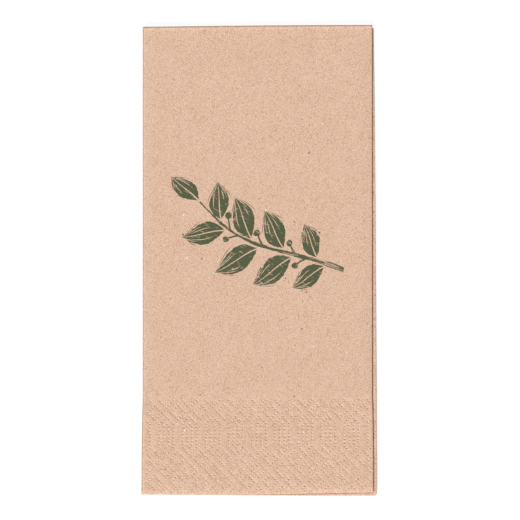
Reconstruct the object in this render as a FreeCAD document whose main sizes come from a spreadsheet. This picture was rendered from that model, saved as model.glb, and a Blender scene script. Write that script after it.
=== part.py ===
import FreeCAD, Part
import math
import os

import Sketcher

# Paper napkin, one tissue sheet folded three times to an eighth of its size.
# +Z is up, the folded napkin is long in Y and wide in X, and the origin is the bottom centre of its box.
# The embossed border runs along the open edges at the -Y end, and the first fold is at the +Y end.

doc = FreeCAD.newDocument("PaperNapkin")


# Driving dimensions in millimetres

sizes = doc.addObject("Spreadsheet::Sheet", "Sizes")

DRIVING_SIZES = (
    ("sheet_width", 392.5, "open sheet, across the second and third folds"),
    ("sheet_length", 400.0, "open sheet, across the first fold"),
    ("layer_thickness", 0.2, "one layer of two-ply tissue"),
    ("layer_gap", 0.1, "air between neighbouring layers"),
    ("crease_flat", 0.2, "flat nose of the pressed first fold"),
    ("edge_overhang", 1.5, "lower panels past the fold of the upper ones"),
    ("emboss_step", 0.988, "between neighbouring columns of dots"),
    ("emboss_margin", 2.65, "first column of motifs from the left fold"),
    ("dot_width", 1.1, "embossed dot, corner to corner"),
    ("dot_floor", 0.08, "paper left under an embossed dot"),
    ("dot_clearance", 0.35, "flat paper kept between a dot and an edge"),
)

# Sizes that follow from the driving ones

DERIVED_SIZES = (
    ("pair_pitch", "=2 * (layer_thickness + layer_gap)", "height of two layers with their gaps"),
    ("pair_outer", "=layer_thickness + layer_gap / 2", "half of two layers with the gap between them"),
    ("pair_inner", "=layer_gap / 2", "half of the gap between two layers"),
    ("leg_length", "=(sheet_length - pi * (layer_thickness + layer_gap) / 2) / 2", "flat part beside the first fold"),
    ("inner_bend", "=pair_pitch / 2", "mean radius of the tight second and third folds"),
    ("outer_bend", "=3 * pair_pitch / 2", "mean radius of the wide third fold"),
    ("fold_reach", "=inner_bend + pair_outer", "flat panel to the outside of the second fold"),
    (
        "upper_panel",
        "=(sheet_width - pi * (outer_bend + inner_bend - pair_pitch / 2) - 2 * (fold_reach + edge_overhang)) / 4",
        "flat part of the two upper panels",
    ),
    ("inner_panel", "=upper_panel + fold_reach + edge_overhang", "flat part of the inner lower panel"),
    ("bottom_panel", "=inner_panel - pi * (outer_bend - inner_bend)", "flat part of the outer lower panel"),
    ("left_reach", "=outer_bend + pair_outer", "third fold's centre to its outside"),
    ("top_face", "=7 * pair_pitch / 2 + pair_outer", "height of the top face in the fold's own frame"),
)


def fill_sheet(rows, first_row):
    for row, (alias, value, note) in enumerate(rows, first_row):
        sizes.set("A%d" % row, alias)
        sizes.set("B%d" % row, str(value))
        sizes.set("C%d" % row, note)
        sizes.setAlias("B%d" % row, alias)


fill_sheet(DRIVING_SIZES, 1)
fill_sheet(DERIVED_SIZES, len(DRIVING_SIZES) + 1)
doc.recompute()


# Sketch helpers

FORWARD = FreeCAD.Vector(0, 0, 1)


def origin_plane(body, role):
    for feature in body.Origin.OriginFeatures:
        if feature.Role == role:
            return feature
    raise ValueError("no origin plane " + role)


def new_sketch(body, name, role):
    sketch = body.newObject("Sketcher::SketchObject", name)
    sketch.AttachmentSupport = [(origin_plane(body, role), "")]
    sketch.MapMode = "FlatFace"
    return sketch


def add_line(sketch, start, end):
    first = FreeCAD.Vector(start[0], start[1], 0)
    last = FreeCAD.Vector(end[0], end[1], 0)
    return sketch.addGeometry(Part.LineSegment(first, last), False)


def add_half_circle(sketch, centre, radius, start_angle):
    circle = Part.Circle(FreeCAD.Vector(centre[0], centre[1], 0), FORWARD, radius)
    return sketch.addGeometry(Part.ArcOfCircle(circle, start_angle, start_angle + math.pi), False)


def add_size(sketch, kind, places, name, alias):
    """A dimension of a sketch, named and tied to a cell of the sheet."""
    index = sketch.addConstraint(Sketcher.Constraint(kind, *places, getattr(sizes, alias)))
    sketch.renameConstraint(index, name)
    sketch.setExpression("Constraints." + name, "Sizes." + alias)


START = 1
END = 2
CENTRE = 3
ORIGIN = (-1, 1)
VERTICAL_AXIS = -2


# The folded sheet: the once-folded pair of layers is swept along the path of the second and third folds

body = doc.addObject("PartDesign::Body", "FoldedSheet")
body.Label = "folded_sheet"


def draw_fold_path():
    """Line, wide left fold, line, right fold, line, tight left fold, line, from the bottom panel to the inner one."""
    pitch = sizes.pair_pitch
    path = new_sketch(body, "FoldPath", "XZ_Plane")
    bottom = add_line(path, (sizes.bottom_panel, 0.5 * pitch), (0, 0.5 * pitch))
    wide_fold = add_half_circle(path, (0, 2 * pitch), sizes.outer_bend, math.pi / 2)
    top = add_line(path, (0, 3.5 * pitch), (sizes.upper_panel, 3.5 * pitch))
    right_fold = add_half_circle(path, (sizes.upper_panel, 3 * pitch), sizes.inner_bend, -math.pi / 2)
    second = add_line(path, (sizes.upper_panel, 2.5 * pitch), (0, 2.5 * pitch))
    tight_fold = add_half_circle(path, (0, 2 * pitch), sizes.inner_bend, math.pi / 2)
    inner = add_line(path, (0, 1.5 * pitch), (sizes.inner_panel, 1.5 * pitch))

    for line in (bottom, top, second, inner):
        path.addConstraint(Sketcher.Constraint("Horizontal", line))
    joints = (
        (bottom, END, wide_fold, END),
        (wide_fold, START, top, START),
        (top, END, right_fold, END),
        (right_fold, START, second, START),
        (second, END, tight_fold, START),
        (tight_fold, END, inner, START),
    )
    for joint in joints:
        path.addConstraint(Sketcher.Constraint("Tangent", *joint))
    path.addConstraint(Sketcher.Constraint("PointOnObject", wide_fold, CENTRE, VERTICAL_AXIS))
    path.addConstraint(Sketcher.Constraint("PointOnObject", tight_fold, CENTRE, VERTICAL_AXIS))
    add_size(path, "DistanceY", (*ORIGIN, bottom, END), "bottom_height", "inner_bend")
    add_size(path, "Radius", (wide_fold,), "wide_radius", "outer_bend")
    add_size(path, "Radius", (right_fold,), "right_radius", "inner_bend")
    add_size(path, "Radius", (tight_fold,), "tight_radius", "inner_bend")
    add_size(path, "Distance", (bottom,), "bottom_length", "bottom_panel")
    add_size(path, "Distance", (top,), "top_length", "upper_panel")
    add_size(path, "Distance", (inner,), "inner_length", "inner_panel")
    return path


def draw_layer_pair():
    """Two layers joined by the pressed crease of the first fold, open at y = 0, where the bottom panel ends."""
    height = sizes.inner_bend
    leg = sizes.leg_length
    outer = sizes.pair_outer
    inner = sizes.pair_inner
    nose = leg + outer
    half_flat = sizes.crease_flat / 2
    section = new_sketch(body, "LayerPair", "YZ_Plane")
    section.setExpression("AttachmentOffset.Base.z", "Sizes.bottom_panel")
    outline = (
        (0, height - outer),
        (leg, height - outer),
        (nose, height - half_flat),
        (nose, height + half_flat),
        (leg, height + outer),
        (0, height + outer),
        (0, height + inner),
        (leg, height + inner),
        (leg + inner, height),
        (leg, height - inner),
        (0, height - inner),
    )
    for start, end in zip(outline, outline[1:] + outline[:1]):
        add_line(section, start, end)
    low_leg, low_slope, crease, high_slope, high_leg, high_edge = range(6)
    high_inside, high_valley, low_valley, low_inside, low_edge = range(6, 11)

    for line in range(len(outline)):
        following = (line + 1) % len(outline)
        section.addConstraint(Sketcher.Constraint("Coincident", line, END, following, START))
    for line in (low_leg, high_leg, high_inside, low_inside):
        section.addConstraint(Sketcher.Constraint("Horizontal", line))
    for line in (crease, high_edge, low_edge):
        section.addConstraint(Sketcher.Constraint("Vertical", line))
    section.addConstraint(Sketcher.Constraint("PointOnObject", low_leg, START, VERTICAL_AXIS))
    section.addConstraint(Sketcher.Constraint("PointOnObject", high_edge, START, VERTICAL_AXIS))
    section.addConstraint(Sketcher.Constraint("Equal", low_leg, high_leg))
    section.addConstraint(Sketcher.Constraint("Equal", low_leg, low_inside))
    section.addConstraint(Sketcher.Constraint("Equal", low_leg, high_inside))
    section.addConstraint(Sketcher.Constraint("Equal", low_slope, high_slope))
    section.addConstraint(Sketcher.Constraint("Equal", high_valley, low_valley))
    add_size(section, "DistanceY", (*ORIGIN, high_valley, END), "pair_height", "inner_bend")
    add_size(section, "DistanceY", (low_leg, END, high_valley, END), "outer_half", "pair_outer")
    add_size(section, "DistanceY", (low_valley, END, high_valley, END), "inner_half", "pair_inner")
    add_size(section, "DistanceY", (high_valley, END, high_leg, START), "upper_half", "pair_outer")
    add_size(section, "DistanceX", (high_valley, START, high_valley, END), "valley_depth", "pair_inner")
    add_size(section, "DistanceX", (low_leg, END, crease, START), "nose_depth", "pair_outer")
    add_size(section, "Distance", (crease,), "crease_width", "crease_flat")
    add_size(section, "Distance", (low_leg,), "leg", "leg_length")
    return section


fold_path = draw_fold_path()
layer_pair = draw_layer_pair()
doc.recompute()

folds = body.newObject("PartDesign::AdditivePipe", "Folds")
folds.Profile = layer_pair
folds.Spine = fold_path
folds.Mode = "Standard"
body.Tip = folds
doc.recompute()
swept_volume = Part.Face(layer_pair.Shape.Wires[0]).Area * fold_path.Shape.Length


# The embossed border: dots on a lattice of columns and rows, pressed into the top face beside the open edges

PERIOD_COLUMNS = 10
DIAMOND_CENTRES = ((8, 0), (3, 5.1), (8, 10.1), (3, 15.2), (3, 35.35), (8, 40.4))
DIAMOND_REACH = 3
HEXAGON_CENTRE = (8, 25.25)
OUTER_HEXAGON = {"reach": 3, "corner": 5.07, "apex": 8.1, "side_steps": 7}
INNER_HEXAGON = {"reach": 1, "corner": 4.0, "apex": 5.1, "side_steps": 5}
BORDER_ROWS = 40.5
PUNCH_LIFT_SHARE = 0.25


def diamond(centre):
    """Twelve dots on the four slanted sides of a diamond."""
    column, row = centre
    dots = []
    for k in range(DIAMOND_REACH):
        rest = DIAMOND_REACH - k
        for across, up in ((rest, k), (-k, rest), (-rest, -k), (k, -rest)):
            dots.append((column + across, row + up))
    return dots


def hexagon(centre, reach, corner, apex, side_steps):
    """Dots on an upright hexagon, with its apexes above and below and a straight row of dots on either side."""
    column, row = centre
    dots = []
    for k in range(reach):
        rise = apex - (apex - corner) * k / reach
        for across in {k, -k}:
            dots.append((column + across, row + rise))
            dots.append((column + across, row - rise))
    for k in range(side_steps + 1):
        rise = corner * (2 * k / side_steps - 1)
        dots.append((column + reach, row + rise))
        dots.append((column - reach, row + rise))
    return dots


def motif():
    """One period of the border, as columns and rows of the lattice."""
    dots = []
    for centre in DIAMOND_CENTRES:
        dots += diamond(centre)
    dots += hexagon(HEXAGON_CENTRE, **OUTER_HEXAGON)
    dots += hexagon(HEXAGON_CENTRE, **INNER_HEXAGON)
    return [(column, row) for column, row in dots if 0 < row < BORDER_ROWS]


def border_dots():
    """Centres of the dots on the flat part of the top face, in the fold's own frame."""
    step = sizes.emboss_step
    keep_off = sizes.dot_width / 2 + sizes.dot_clearance
    first_column = sizes.emboss_margin - sizes.left_reach
    periods = math.ceil(sizes.upper_panel / (PERIOD_COLUMNS * step)) + 1
    places = []
    for period in range(-1, periods):
        for column, row in motif():
            x = first_column + (column + PERIOD_COLUMNS * period) * step
            y = row * step
            if keep_off <= x <= sizes.upper_panel - keep_off and keep_off <= y <= sizes.leg_length - keep_off:
                places.append(FreeCAD.Vector(x, y, sizes.top_face))
    return places


def make_punch():
    """A four-sided point that stands a little way out of the face that it presses."""
    depth = sizes.layer_thickness - sizes.dot_floor
    lift = depth * PUNCH_LIFT_SHARE
    half = sizes.dot_width / 2 * (depth + lift) / depth
    corners = [
        FreeCAD.Vector(half, 0, lift),
        FreeCAD.Vector(0, half, lift),
        FreeCAD.Vector(-half, 0, lift),
        FreeCAD.Vector(0, -half, lift),
    ]
    point = FreeCAD.Vector(0, 0, -depth)
    faces = [Part.Face(Part.makePolygon(corners + corners[:1]))]
    for k in range(4):
        faces.append(Part.Face(Part.makePolygon([corners[k], corners[k - 1], point, corners[k]])))
    return Part.makeSolid(Part.makeShell(faces))


punches = doc.addObject("Part::Feature", "EmbossPunches")
punches.Label = "emboss_punches"
punch = make_punch()
punches.Shape = Part.makeCompound([punch.translated(place) for place in border_dots()])

napkin = doc.addObject("Part::Cut", "Napkin")
napkin.Label = "napkin"
napkin.Base = body
napkin.Tool = punches
napkin.Refine = False
napkin.setExpression("Placement.Base.x", "-(Sizes.inner_panel - Sizes.left_reach) / 2")
napkin.setExpression("Placement.Base.y", "-(Sizes.leg_length + Sizes.pair_outer) / 2")
napkin.setExpression("Placement.Base.z", "-Sizes.layer_gap / 2")
doc.recompute()


# Checks and files

for item in doc.Objects:
    if "Invalid" in item.State or "Error" in item.State:
        raise RuntimeError("%s did not build: %s" % (item.Label, item.State))

if napkin.Shape.isNull() or not napkin.Shape.isValid():
    raise RuntimeError(napkin.Label + " has no valid shape")

os.makedirs("parts", exist_ok=True)
napkin.Shape.exportStep(os.path.join("parts", napkin.Label + ".step"))
print(napkin.Label, len(napkin.Shape.Solids), "solid", len(napkin.Shape.Faces), "faces")
print("volume", round(napkin.Shape.Volume, 1), "of", round(swept_volume, 1), "swept")
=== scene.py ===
import math
import random

import bpy
from bpy.props import FloatProperty, FloatVectorProperty, PointerProperty
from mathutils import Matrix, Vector, noise
from mathutils.geometry import delaunay_2d_cdt


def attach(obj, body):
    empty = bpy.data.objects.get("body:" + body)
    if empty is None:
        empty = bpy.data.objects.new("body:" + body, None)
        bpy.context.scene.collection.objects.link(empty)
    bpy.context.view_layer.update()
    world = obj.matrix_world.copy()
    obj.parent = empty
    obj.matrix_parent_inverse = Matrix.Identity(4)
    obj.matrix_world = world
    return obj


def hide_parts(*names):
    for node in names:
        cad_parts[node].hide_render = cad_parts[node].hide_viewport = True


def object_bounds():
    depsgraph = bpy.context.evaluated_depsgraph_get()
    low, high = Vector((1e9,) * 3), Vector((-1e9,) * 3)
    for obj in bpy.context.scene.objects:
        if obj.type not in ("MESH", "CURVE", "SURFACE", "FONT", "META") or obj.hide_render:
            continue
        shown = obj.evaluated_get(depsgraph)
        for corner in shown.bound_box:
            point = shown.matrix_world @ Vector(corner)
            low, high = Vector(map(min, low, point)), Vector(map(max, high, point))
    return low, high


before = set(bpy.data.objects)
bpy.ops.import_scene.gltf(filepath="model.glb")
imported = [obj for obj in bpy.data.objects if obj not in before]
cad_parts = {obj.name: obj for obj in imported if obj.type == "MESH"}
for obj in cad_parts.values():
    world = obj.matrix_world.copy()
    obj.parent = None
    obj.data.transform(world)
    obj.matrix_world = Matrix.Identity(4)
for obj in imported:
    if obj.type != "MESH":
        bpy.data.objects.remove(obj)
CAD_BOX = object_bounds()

bl_info = {
    "name": "Folded Paper Napkin",
    "version": (1, 0, 0),
    "blender": (4, 5, 0),
    "location": "View3D > Sidebar > Napkin",
    "description": "A tissue napkin folded to an eighth, with an embossed border and a leaf print",
    "category": "Add Mesh",
}

MM = 0.001


def srgb(code):
    """A hex colour, such as DFBBA1, as linear red, green and blue."""
    channels = [int(code[k:k + 2], 16) / 255 for k in (0, 2, 4)]
    return [c / 12.92 if c <= 0.04045 else ((c + 0.055) / 1.055) ** 2.4 for c in channels]


def length_property(name, description, default):
    """A length that a user can change."""
    return FloatProperty(name=name, description=description, default=default, unit="LENGTH")


def angle_property(name, description, degrees):
    """An angle that a user can change."""
    return FloatProperty(name=name, description=description, default=math.radians(degrees), subtype="ANGLE")


def colour_property(name, description, code):
    """A colour that a user can change, given as a hex colour."""
    colour = srgb(code)
    return FloatVectorProperty(name=name, description=description, subtype="COLOR", size=3, default=colour)


# Sizes and colours that a user would change


class NapkinSheetSizes(bpy.types.PropertyGroup):
    """The open sheet and how tightly it is folded"""

    sheet_width: length_property("Sheet width", "Open sheet, across the second and third folds", 392.5 * MM)
    sheet_length: length_property("Sheet length", "Open sheet, across the first fold", 400 * MM)
    layer_thickness: length_property("Layer thickness", "One layer of two-ply tissue", 0.2 * MM)
    layer_gap: length_property("Layer gap", "Air between neighbouring layers", 0.1 * MM)
    edge_overhang: length_property(
        "Edge overhang", "How far the lower panels reach past the fold of the upper ones", 1.5 * MM
    )


class NapkinEmbossSizes(bpy.types.PropertyGroup):
    """The dots of the border and where they start"""

    step: length_property("Dot step", "Between neighbouring columns of dots", 0.988 * MM)
    margin: length_property("Margin", "First column of motifs from the left fold", 2.17 * MM)
    dot_width: length_property("Dot width", "Width of one embossed dot", 0.84 * MM)
    first_row: length_property("First row", "Row nought of the motifs from the open edge", 0.21 * MM)
    dot_depth: length_property("Dot depth", "Depth of one embossed dot", 0.18 * MM)


class NapkinPrintSizes(bpy.types.PropertyGroup):
    """The printed sprig on the front panel"""

    width: length_property("Print width", "Width of the printed sprig", 72 * MM)
    centre: FloatVectorProperty(
        name="Print centre",
        description="Centre of the printed sprig on the front panel",
        size=2,
        default=(0, 13 * MM),
        unit="LENGTH",
    )


class NapkinColours(bpy.types.PropertyGroup):
    """Paper, ink and floor"""

    paper: colour_property("Paper", "Unbleached recycled tissue", "E1BEA5")
    ink: colour_property("Ink", "Olive green printing ink", "565D42")
    floor: colour_property("Floor", "Plain pale floor under the napkin", "F2F2F2")


class NapkinStageSizes(bpy.types.PropertyGroup):
    """The camera and the light"""

    view_width: length_property("View width", "Width of the picture on the napkin's top face", 222.35 * MM)
    lens: FloatProperty(name="Lens", description="Focal length in millimetres", default=200)
    sun_height: angle_property("Sun height", "Height of the key light above the floor", 41)
    sun_side: angle_property(
        "Sun side", "Side that the key light comes from, counted from the right, anticlockwise", 241.5
    )
    ambient: FloatProperty(
        name="Ambient",
        description="Share of the light that comes from all round",
        default=0.28,
        subtype="FACTOR",
    )
    ambient_colour: colour_property(
        "Ambient colour", "Warm light from all round, which the key light makes up to white", "FFFAF2"
    )


# The fold: from a place on the open sheet to a place on the folded napkin


class Fold:
    """The open sheet is measured by across, along its width, and along, along its length.

    The first fold makes a pair of layers. The pair then follows a spiral in X and Z: bottom panel to the
    left, wide fold, front panel to the right, right fold, second panel to the left, tight fold, and inner
    panel to the right.
    """

    def __init__(self, sizes):
        self.thickness = sizes.layer_thickness
        self.width = sizes.sheet_width
        self.length = sizes.sheet_length
        self.pitch = 2 * (sizes.layer_thickness + sizes.layer_gap)
        self.pair_half = sizes.layer_thickness + sizes.layer_gap / 2
        self.layer_middle = (sizes.layer_thickness + sizes.layer_gap) / 2
        self.leg = (self.length - math.pi * self.layer_middle) / 2
        tight = self.pitch / 2
        wide = 3 * self.pitch / 2
        reach = tight + self.pair_half
        bends = math.pi * (wide + tight - self.pitch / 2)
        upper = (self.width - bends - 2 * (reach + sizes.edge_overhang)) / 4
        inner = upper + reach + sizes.edge_overhang
        bottom = inner - math.pi * (wide - tight)
        # Name, length, and radius where it bends: positive to the right of its way, negative to the left
        self.spans = (
            ("bottom panel", bottom, None),
            ("wide fold", math.pi * wide, wide),
            ("front panel", upper, None),
            ("right fold", math.pi * tight, tight),
            ("second panel", upper, None),
            ("tight fold", math.pi * tight, -tight),
            ("inner panel", inner, None),
        )
        self.height = 4 * self.pitch - sizes.layer_gap
        self.left = -wide - self.pair_half
        self.right = inner
        self.upper_right = upper + reach
        self.starts = {}
        self.ends = {}
        at = 0
        for name, length, radius in self.spans:
            self.starts[name] = at
            at += length
            self.ends[name] = at

    def pair_place(self, across):
        """Middle of the layer pair in X and Z, and its outward normal."""
        place = Vector((self.ends["bottom panel"], self.pitch / 2))
        ahead = Vector((-1, 0))
        outward = Vector((0, -1))
        rest = across
        for _, length, radius in self.spans:
            step = min(rest, length)
            if radius is None:
                place = place + ahead * step
            else:
                turn = step / radius
                centre = place - outward * radius
                turned = outward * math.cos(turn) + ahead * math.sin(turn)
                ahead = ahead * math.cos(turn) - outward * math.sin(turn)
                outward = turned
                place = centre + outward * radius
            rest -= step
            if rest <= 0:
                break
        return place, outward

    def layer_place(self, along):
        """Y, height in the pair, and the sheet's face direction in Y and height."""
        middle = self.layer_middle
        turn = (along - self.leg) / middle
        if turn <= 0:
            return along, middle, 0, 1
        if turn < math.pi:
            sine = math.sin(turn)
            cosine = math.cos(turn)
            return self.leg + middle * sine, middle * cosine, sine, cosine
        return self.leg - (turn - math.pi) * middle, -middle, 0, -1

    def place(self, across, along, rise):
        """A point that lies rise above the sheet's middle, on its face side, before the sheet settles."""
        pair, outward = self.pair_place(across)
        y, height, face_y, face_height = self.layer_place(along)
        height += rise * face_height
        x = pair.x + outward.x * height - (self.left + self.right) / 2
        z = pair.y + outward.y * height - self.pitch / 2 + self.pair_half
        return Vector((x, y + rise * face_y - (self.leg + self.pair_half) / 2, z))


def smooth_step(value, low, high):
    """Nought up to low, one from high on, and a smooth rise between them."""
    share = min(max((value - low) / (high - low), 0), 1)
    return share * share * (3 - 2 * share)


# How the real napkin departs from a perfect fold

# The upper panels lie turned a little towards the first fold, and the lower ones towards the open edges
UPPER_RISE = 0.83 * MM
LOWER_DROP = 0.60 * MM

# The right side of the lower panels: its middle, slope, bow and twist from the first fold to the open edges
LOWER_SIDE = (0.06 * MM, -1.45 * MM, -1.3 * MM, -1.9 * MM)

# The soft folds stand out past their panels, and the embossed end is a little wider than the rest
LEFT_SPREAD = 0.34 * MM
TOP_SPREAD = 0.25 * MM
TOP_BULGE = 0.17 * MM
BOTTOM_BULGE = 0.43 * MM
LOWER_BULGE_SHARE = 0.47
BULGE_LEAN = 0.72
BULGE_SHARPNESS = 1.5
BAND_DEPTH = 40 * MM
BAND_FLARE_LEFT = 0.54 * MM
BAND_FLARE_RIGHT = 0.50 * MM

# The free corners are rounded, the lower one is drawn in, and the walls of the first and third folds slant
CORNER_RADIUS = 1.1 * MM
CORNER_PULL = 0.35 * MM
FOLD_SLANT = 0.35 * MM
LEFT_FOLD_PRESS = 1.35

# Heights: a ridge along the first fold, the open edges pressed thin, the free right side curled up
FOLD_RIDGE = 0.30 * MM
FOLD_RIDGE_WIDTH = 0.5 * MM
EDGE_PINCH = 0.50 * MM
STRIP_CURL = 0.42 * MM
STRIP_CURL_START = 3 * MM

# Waves of the whole sheet: height, and the width, length, seed and share of each
SHEET_WAVE = 0.05 * MM
WAVES = ((34 * MM, 46 * MM, 3.1, 1.0), (15 * MM, 19 * MM, 7.7, 0.5))

# Inner layers reach past the top one at the open edges, more and more over this share of the width
EDGE_FRAY = 0.40 * MM
FRAY_SPAN = (0.2, 0.55)

# The lower layers change to the upper ones over these heights from the top of the lower ones
GROUP_SPAN = (-0.1 * MM, 0.05 * MM)

# A faint wrinkle on the front panel beside the first fold, at its full height between two places
WRINKLE_START = 10 * MM
WRINKLE_FULL = (30 * MM, 42 * MM)
WRINKLE_END = 45 * MM
WRINKLE_Y = 93.7 * MM
WRINKLE_BEND = 0.0019 / MM
WRINKLE_SLOPE = 0.27
WRINKLE_REACH = 0.45 * MM
WRINKLE_ROWS = (-2.2 * MM, -1.2 * MM, -0.6 * MM, -0.3 * MM, 0, 0.3 * MM, 0.6 * MM, 1.2 * MM, 2.2 * MM)

# How far from its edge each of these fades to a third
SPREAD_REACH = 4 * MM
TOP_REACH = 3 * MM
BAND_REACH = 12 * MM
CORNER_REACH = 3.5 * MM
SLANT_REACH = 2 * MM
BULGE_REACH = 1.2 * MM
FRAY_REACH = 0.8 * MM
RIDGE_REACH = 0.65 * MM
PINCH_REACH = 0.9 * MM
CURL_REACH = 0.8 * MM

# Painted shade along the outline, standing for the shade in the creases of the folds and in the gaps between
# layer edges: how much, and how far in, it darkens
OUTLINE_SHADE_TONE = 0.5
OUTLINE_SHADE_REACH = 0.3 * MM
OUTLINE_SHADE_INSET = 0.42 * MM
LEFT_FOLD_SHADE = 0.9
CUT_EDGE_SHADE = 0.2
CUT_REACH = 0.35 * MM

# Painted shade on the inner layers' cut edges grows over this share of the width, and starts this far under
# the top layer
CUT_SPAN = (0.2, 0.8)
FACE_CLEAR = 0.01 * MM


def fade(distance, reach):
    """One at an edge, and less and less with the distance from it."""
    return math.exp(-max(distance, 0) / reach)


def narrow_fade(distance, reach):
    """As fade, but with a rounded top and a short tail."""
    return math.exp(-((max(distance, 0) / reach) ** 2))


def wrinkle_line(x):
    """Y of the wrinkle at a place along it."""
    return WRINKLE_Y + WRINKLE_BEND * (x - WRINKLE_START) ** 2


def wrinkle_height(x, y):
    """A low step down towards the first fold, with long soft sides."""
    away = y - wrinkle_line(x)
    first, last = WRINKLE_FULL
    strength = smooth_step(x, WRINKLE_START, first) ** 2 * (1 - smooth_step(x, last, WRINKLE_END))
    return -WRINKLE_SLOPE * strength * away * fade(abs(away), WRINKLE_REACH)


class Settled:
    """Moves a point of the perfect fold to where the real, softer one lies."""

    def __init__(self, fold):
        self.fold = fold
        self.half_width = (fold.right - fold.left) / 2
        self.half_length = (fold.leg + fold.pair_half) / 2
        self.group_height = 2 * fold.pitch - (fold.pitch / 2 - fold.pair_half)

    def __call__(self, point):
        x, y, z = point
        upper = smooth_step(z, self.group_height + GROUP_SPAN[0], self.group_height + GROUP_SPAN[1])
        from_left = x + self.half_width
        from_bottom = y + self.half_length
        u = min(max(from_left / (2 * self.half_width), 0), 1)
        v = min(max(from_bottom / (2 * self.half_length), 0), 1)
        new_x, new_y = self.round_corner(x, y, 1 - upper)
        new_x = self.press_left_fold(new_x, from_left) + self.side_shift(point, upper, u, v)
        new_y += self.end_shift(point, upper, u)
        return Vector((new_x, new_y, z * (1 + self.swell(point, upper) / self.fold.height)))

    def side_shift(self, point, upper, u, v):
        """How far a point moves in X."""
        from_left = point.x + self.half_width
        from_right = self.fold.upper_right - self.fold.left - from_left
        from_bottom = point.y + self.half_length
        band = 1 - fade(BAND_DEPTH - from_bottom, BAND_REACH)
        shift = -(LEFT_SPREAD + BAND_FLARE_LEFT * band) * fade(from_left, SPREAD_REACH)
        shift += BAND_FLARE_RIGHT * band * fade(from_right, SPREAD_REACH) * upper
        shift += FOLD_SLANT * point.z / self.fold.height * fade(from_left, SLANT_REACH)
        lower_side = self.lower_side(v) - CORNER_PULL * fade(from_bottom, CORNER_REACH)
        return shift + lower_side * u * (1 - upper)

    def end_shift(self, point, upper, u):
        """How far a point moves in Y."""
        fold = self.fold
        from_top = self.half_length - point.y
        from_bottom = point.y + self.half_length
        shift = (UPPER_RISE * upper - LOWER_DROP * (1 - upper)) * u
        shift -= FOLD_SLANT * point.z / fold.height * fade(from_top, SLANT_REACH)
        shift += (TOP_SPREAD + TOP_BULGE * math.sin(math.pi * u)) * fade(from_top, TOP_REACH)
        bulge = math.sin(math.pi * u ** BULGE_LEAN) ** BULGE_SHARPNESS * upper
        bulge += LOWER_BULGE_SHARE * math.sin(math.pi * u) * (1 - upper)
        shift -= BOTTOM_BULGE * bulge * fade(from_bottom, BULGE_REACH)
        inner = 1 - smooth_step(point.z, self.group_height, fold.height - fold.thickness)
        fray = inner * upper * smooth_step(u, *FRAY_SPAN) * fade(from_bottom, FRAY_REACH)
        return shift - EDGE_FRAY * fray

    def swell(self, point, upper):
        """How much thicker or thinner the whole napkin is at a point."""
        x, y, z = point
        from_top = self.half_length - y
        from_bottom = y + self.half_length
        from_side = self.half_width - x
        wave = 0
        for width, length, seed, share in WAVES:
            wave += share * noise.noise(Vector((x / width, y / length, seed)))
        swell = SHEET_WAVE * wave + FOLD_RIDGE * fade(from_top - FOLD_RIDGE_WIDTH, RIDGE_REACH)
        swell += wrinkle_height(x, y) * upper - EDGE_PINCH * fade(from_bottom, PINCH_REACH)
        curl = fade(from_side, CURL_REACH) * smooth_step(from_bottom, 0, STRIP_CURL_START)
        return swell + STRIP_CURL * (1 - upper) * curl

    def lower_side(self, v):
        """The right side of the lower panels leans out towards the open edges, in a slight bow."""
        middle, slope, bow, twist = LOWER_SIDE
        return middle + slope * (v - 0.5) + bow * (v - 0.5) ** 2 + twist * (v - 0.5) ** 3

    def painted_edge_shade(self, point):
        """How much painted shade darkens a point near its panel's outline, from 0 to 1: the shade of the
        folds' creases and of the gaps between layer edges.
        """
        x, y, z = point
        upper = z > self.group_height
        under = upper and z < self.fold.height - self.fold.thickness - FACE_CLEAR
        from_left = max(x + self.half_width, 0)
        from_top = self.half_length - y
        # Painted shade: in the top fold's crease, at the left fold and on the layers' cut edges
        distance = abs(from_top - OUTLINE_SHADE_INSET) if upper else min(from_top, self.half_width - x)
        outline_shade = OUTLINE_SHADE_TONE * narrow_fade(distance, OUTLINE_SHADE_REACH)
        folded = LEFT_FOLD_SHADE * narrow_fade(from_left, CUT_REACH)
        cut = narrow_fade(y + self.half_length, CUT_REACH)
        cut *= smooth_step(from_left / (2 * self.half_width), *CUT_SPAN) if under else CUT_EDGE_SHADE
        return max(outline_shade, folded, cut)

    def press_left_fold(self, x, from_left):
        """Presses the round of the wide fold flatter, so that it stands up like a wall."""
        reach = -self.fold.left
        if from_left >= reach:
            return x
        return x + reach * (max(from_left, 0) / reach) ** LEFT_FOLD_PRESS - from_left

    def round_corner(self, x, y, share):
        """Rounds the two free corners of the lower panels: a small square becomes a quarter disc."""
        radius = CORNER_RADIUS * share
        if radius <= 0:
            return x, y
        across = (x - (self.half_width - radius)) / radius
        up = (abs(y) - (self.half_length - radius)) / radius
        if across <= 0 or up <= 0:
            return x, y
        rounded_x = self.half_width - radius + radius * across * math.sqrt(max(1 - up * up / 2, 0))
        rounded_y = self.half_length - radius + radius * up * math.sqrt(max(1 - across * across / 2, 0))
        return rounded_x, math.copysign(rounded_y, y)


# The embossed border: dots in diamonds and upright six-sided figures on a lattice of columns and rows

PERIOD_COLUMNS = 10
DIAMOND_CENTRES = ((8, 0), (3, 5.1), (8, 10.1), (3, 15.2), (3, 35.35), (8, 40.4))
DIAMOND_REACH = 3
HEXAGON_CENTRE = (8, 25.25)
OUTER_HEXAGON = {"reach": 3, "corner": 5.07, "apex": 8.1, "side_steps": 7}
INNER_HEXAGON = {"reach": 1, "corner": 4.0, "apex": 5.1, "side_steps": 5}
BORDER_ROWS = 40.5

# Plain paper between the open edge and the first dots
EDGE_CLEAR = 0.4 * MM


def diamond(centre):
    """Twelve dots on the four slanted sides of a diamond."""
    column, row = centre
    dots = []
    for k in range(DIAMOND_REACH):
        rest = DIAMOND_REACH - k
        for across, up in ((rest, k), (-k, rest), (-rest, -k), (k, -rest)):
            dots.append((column + across, row + up))
    return dots


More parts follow.
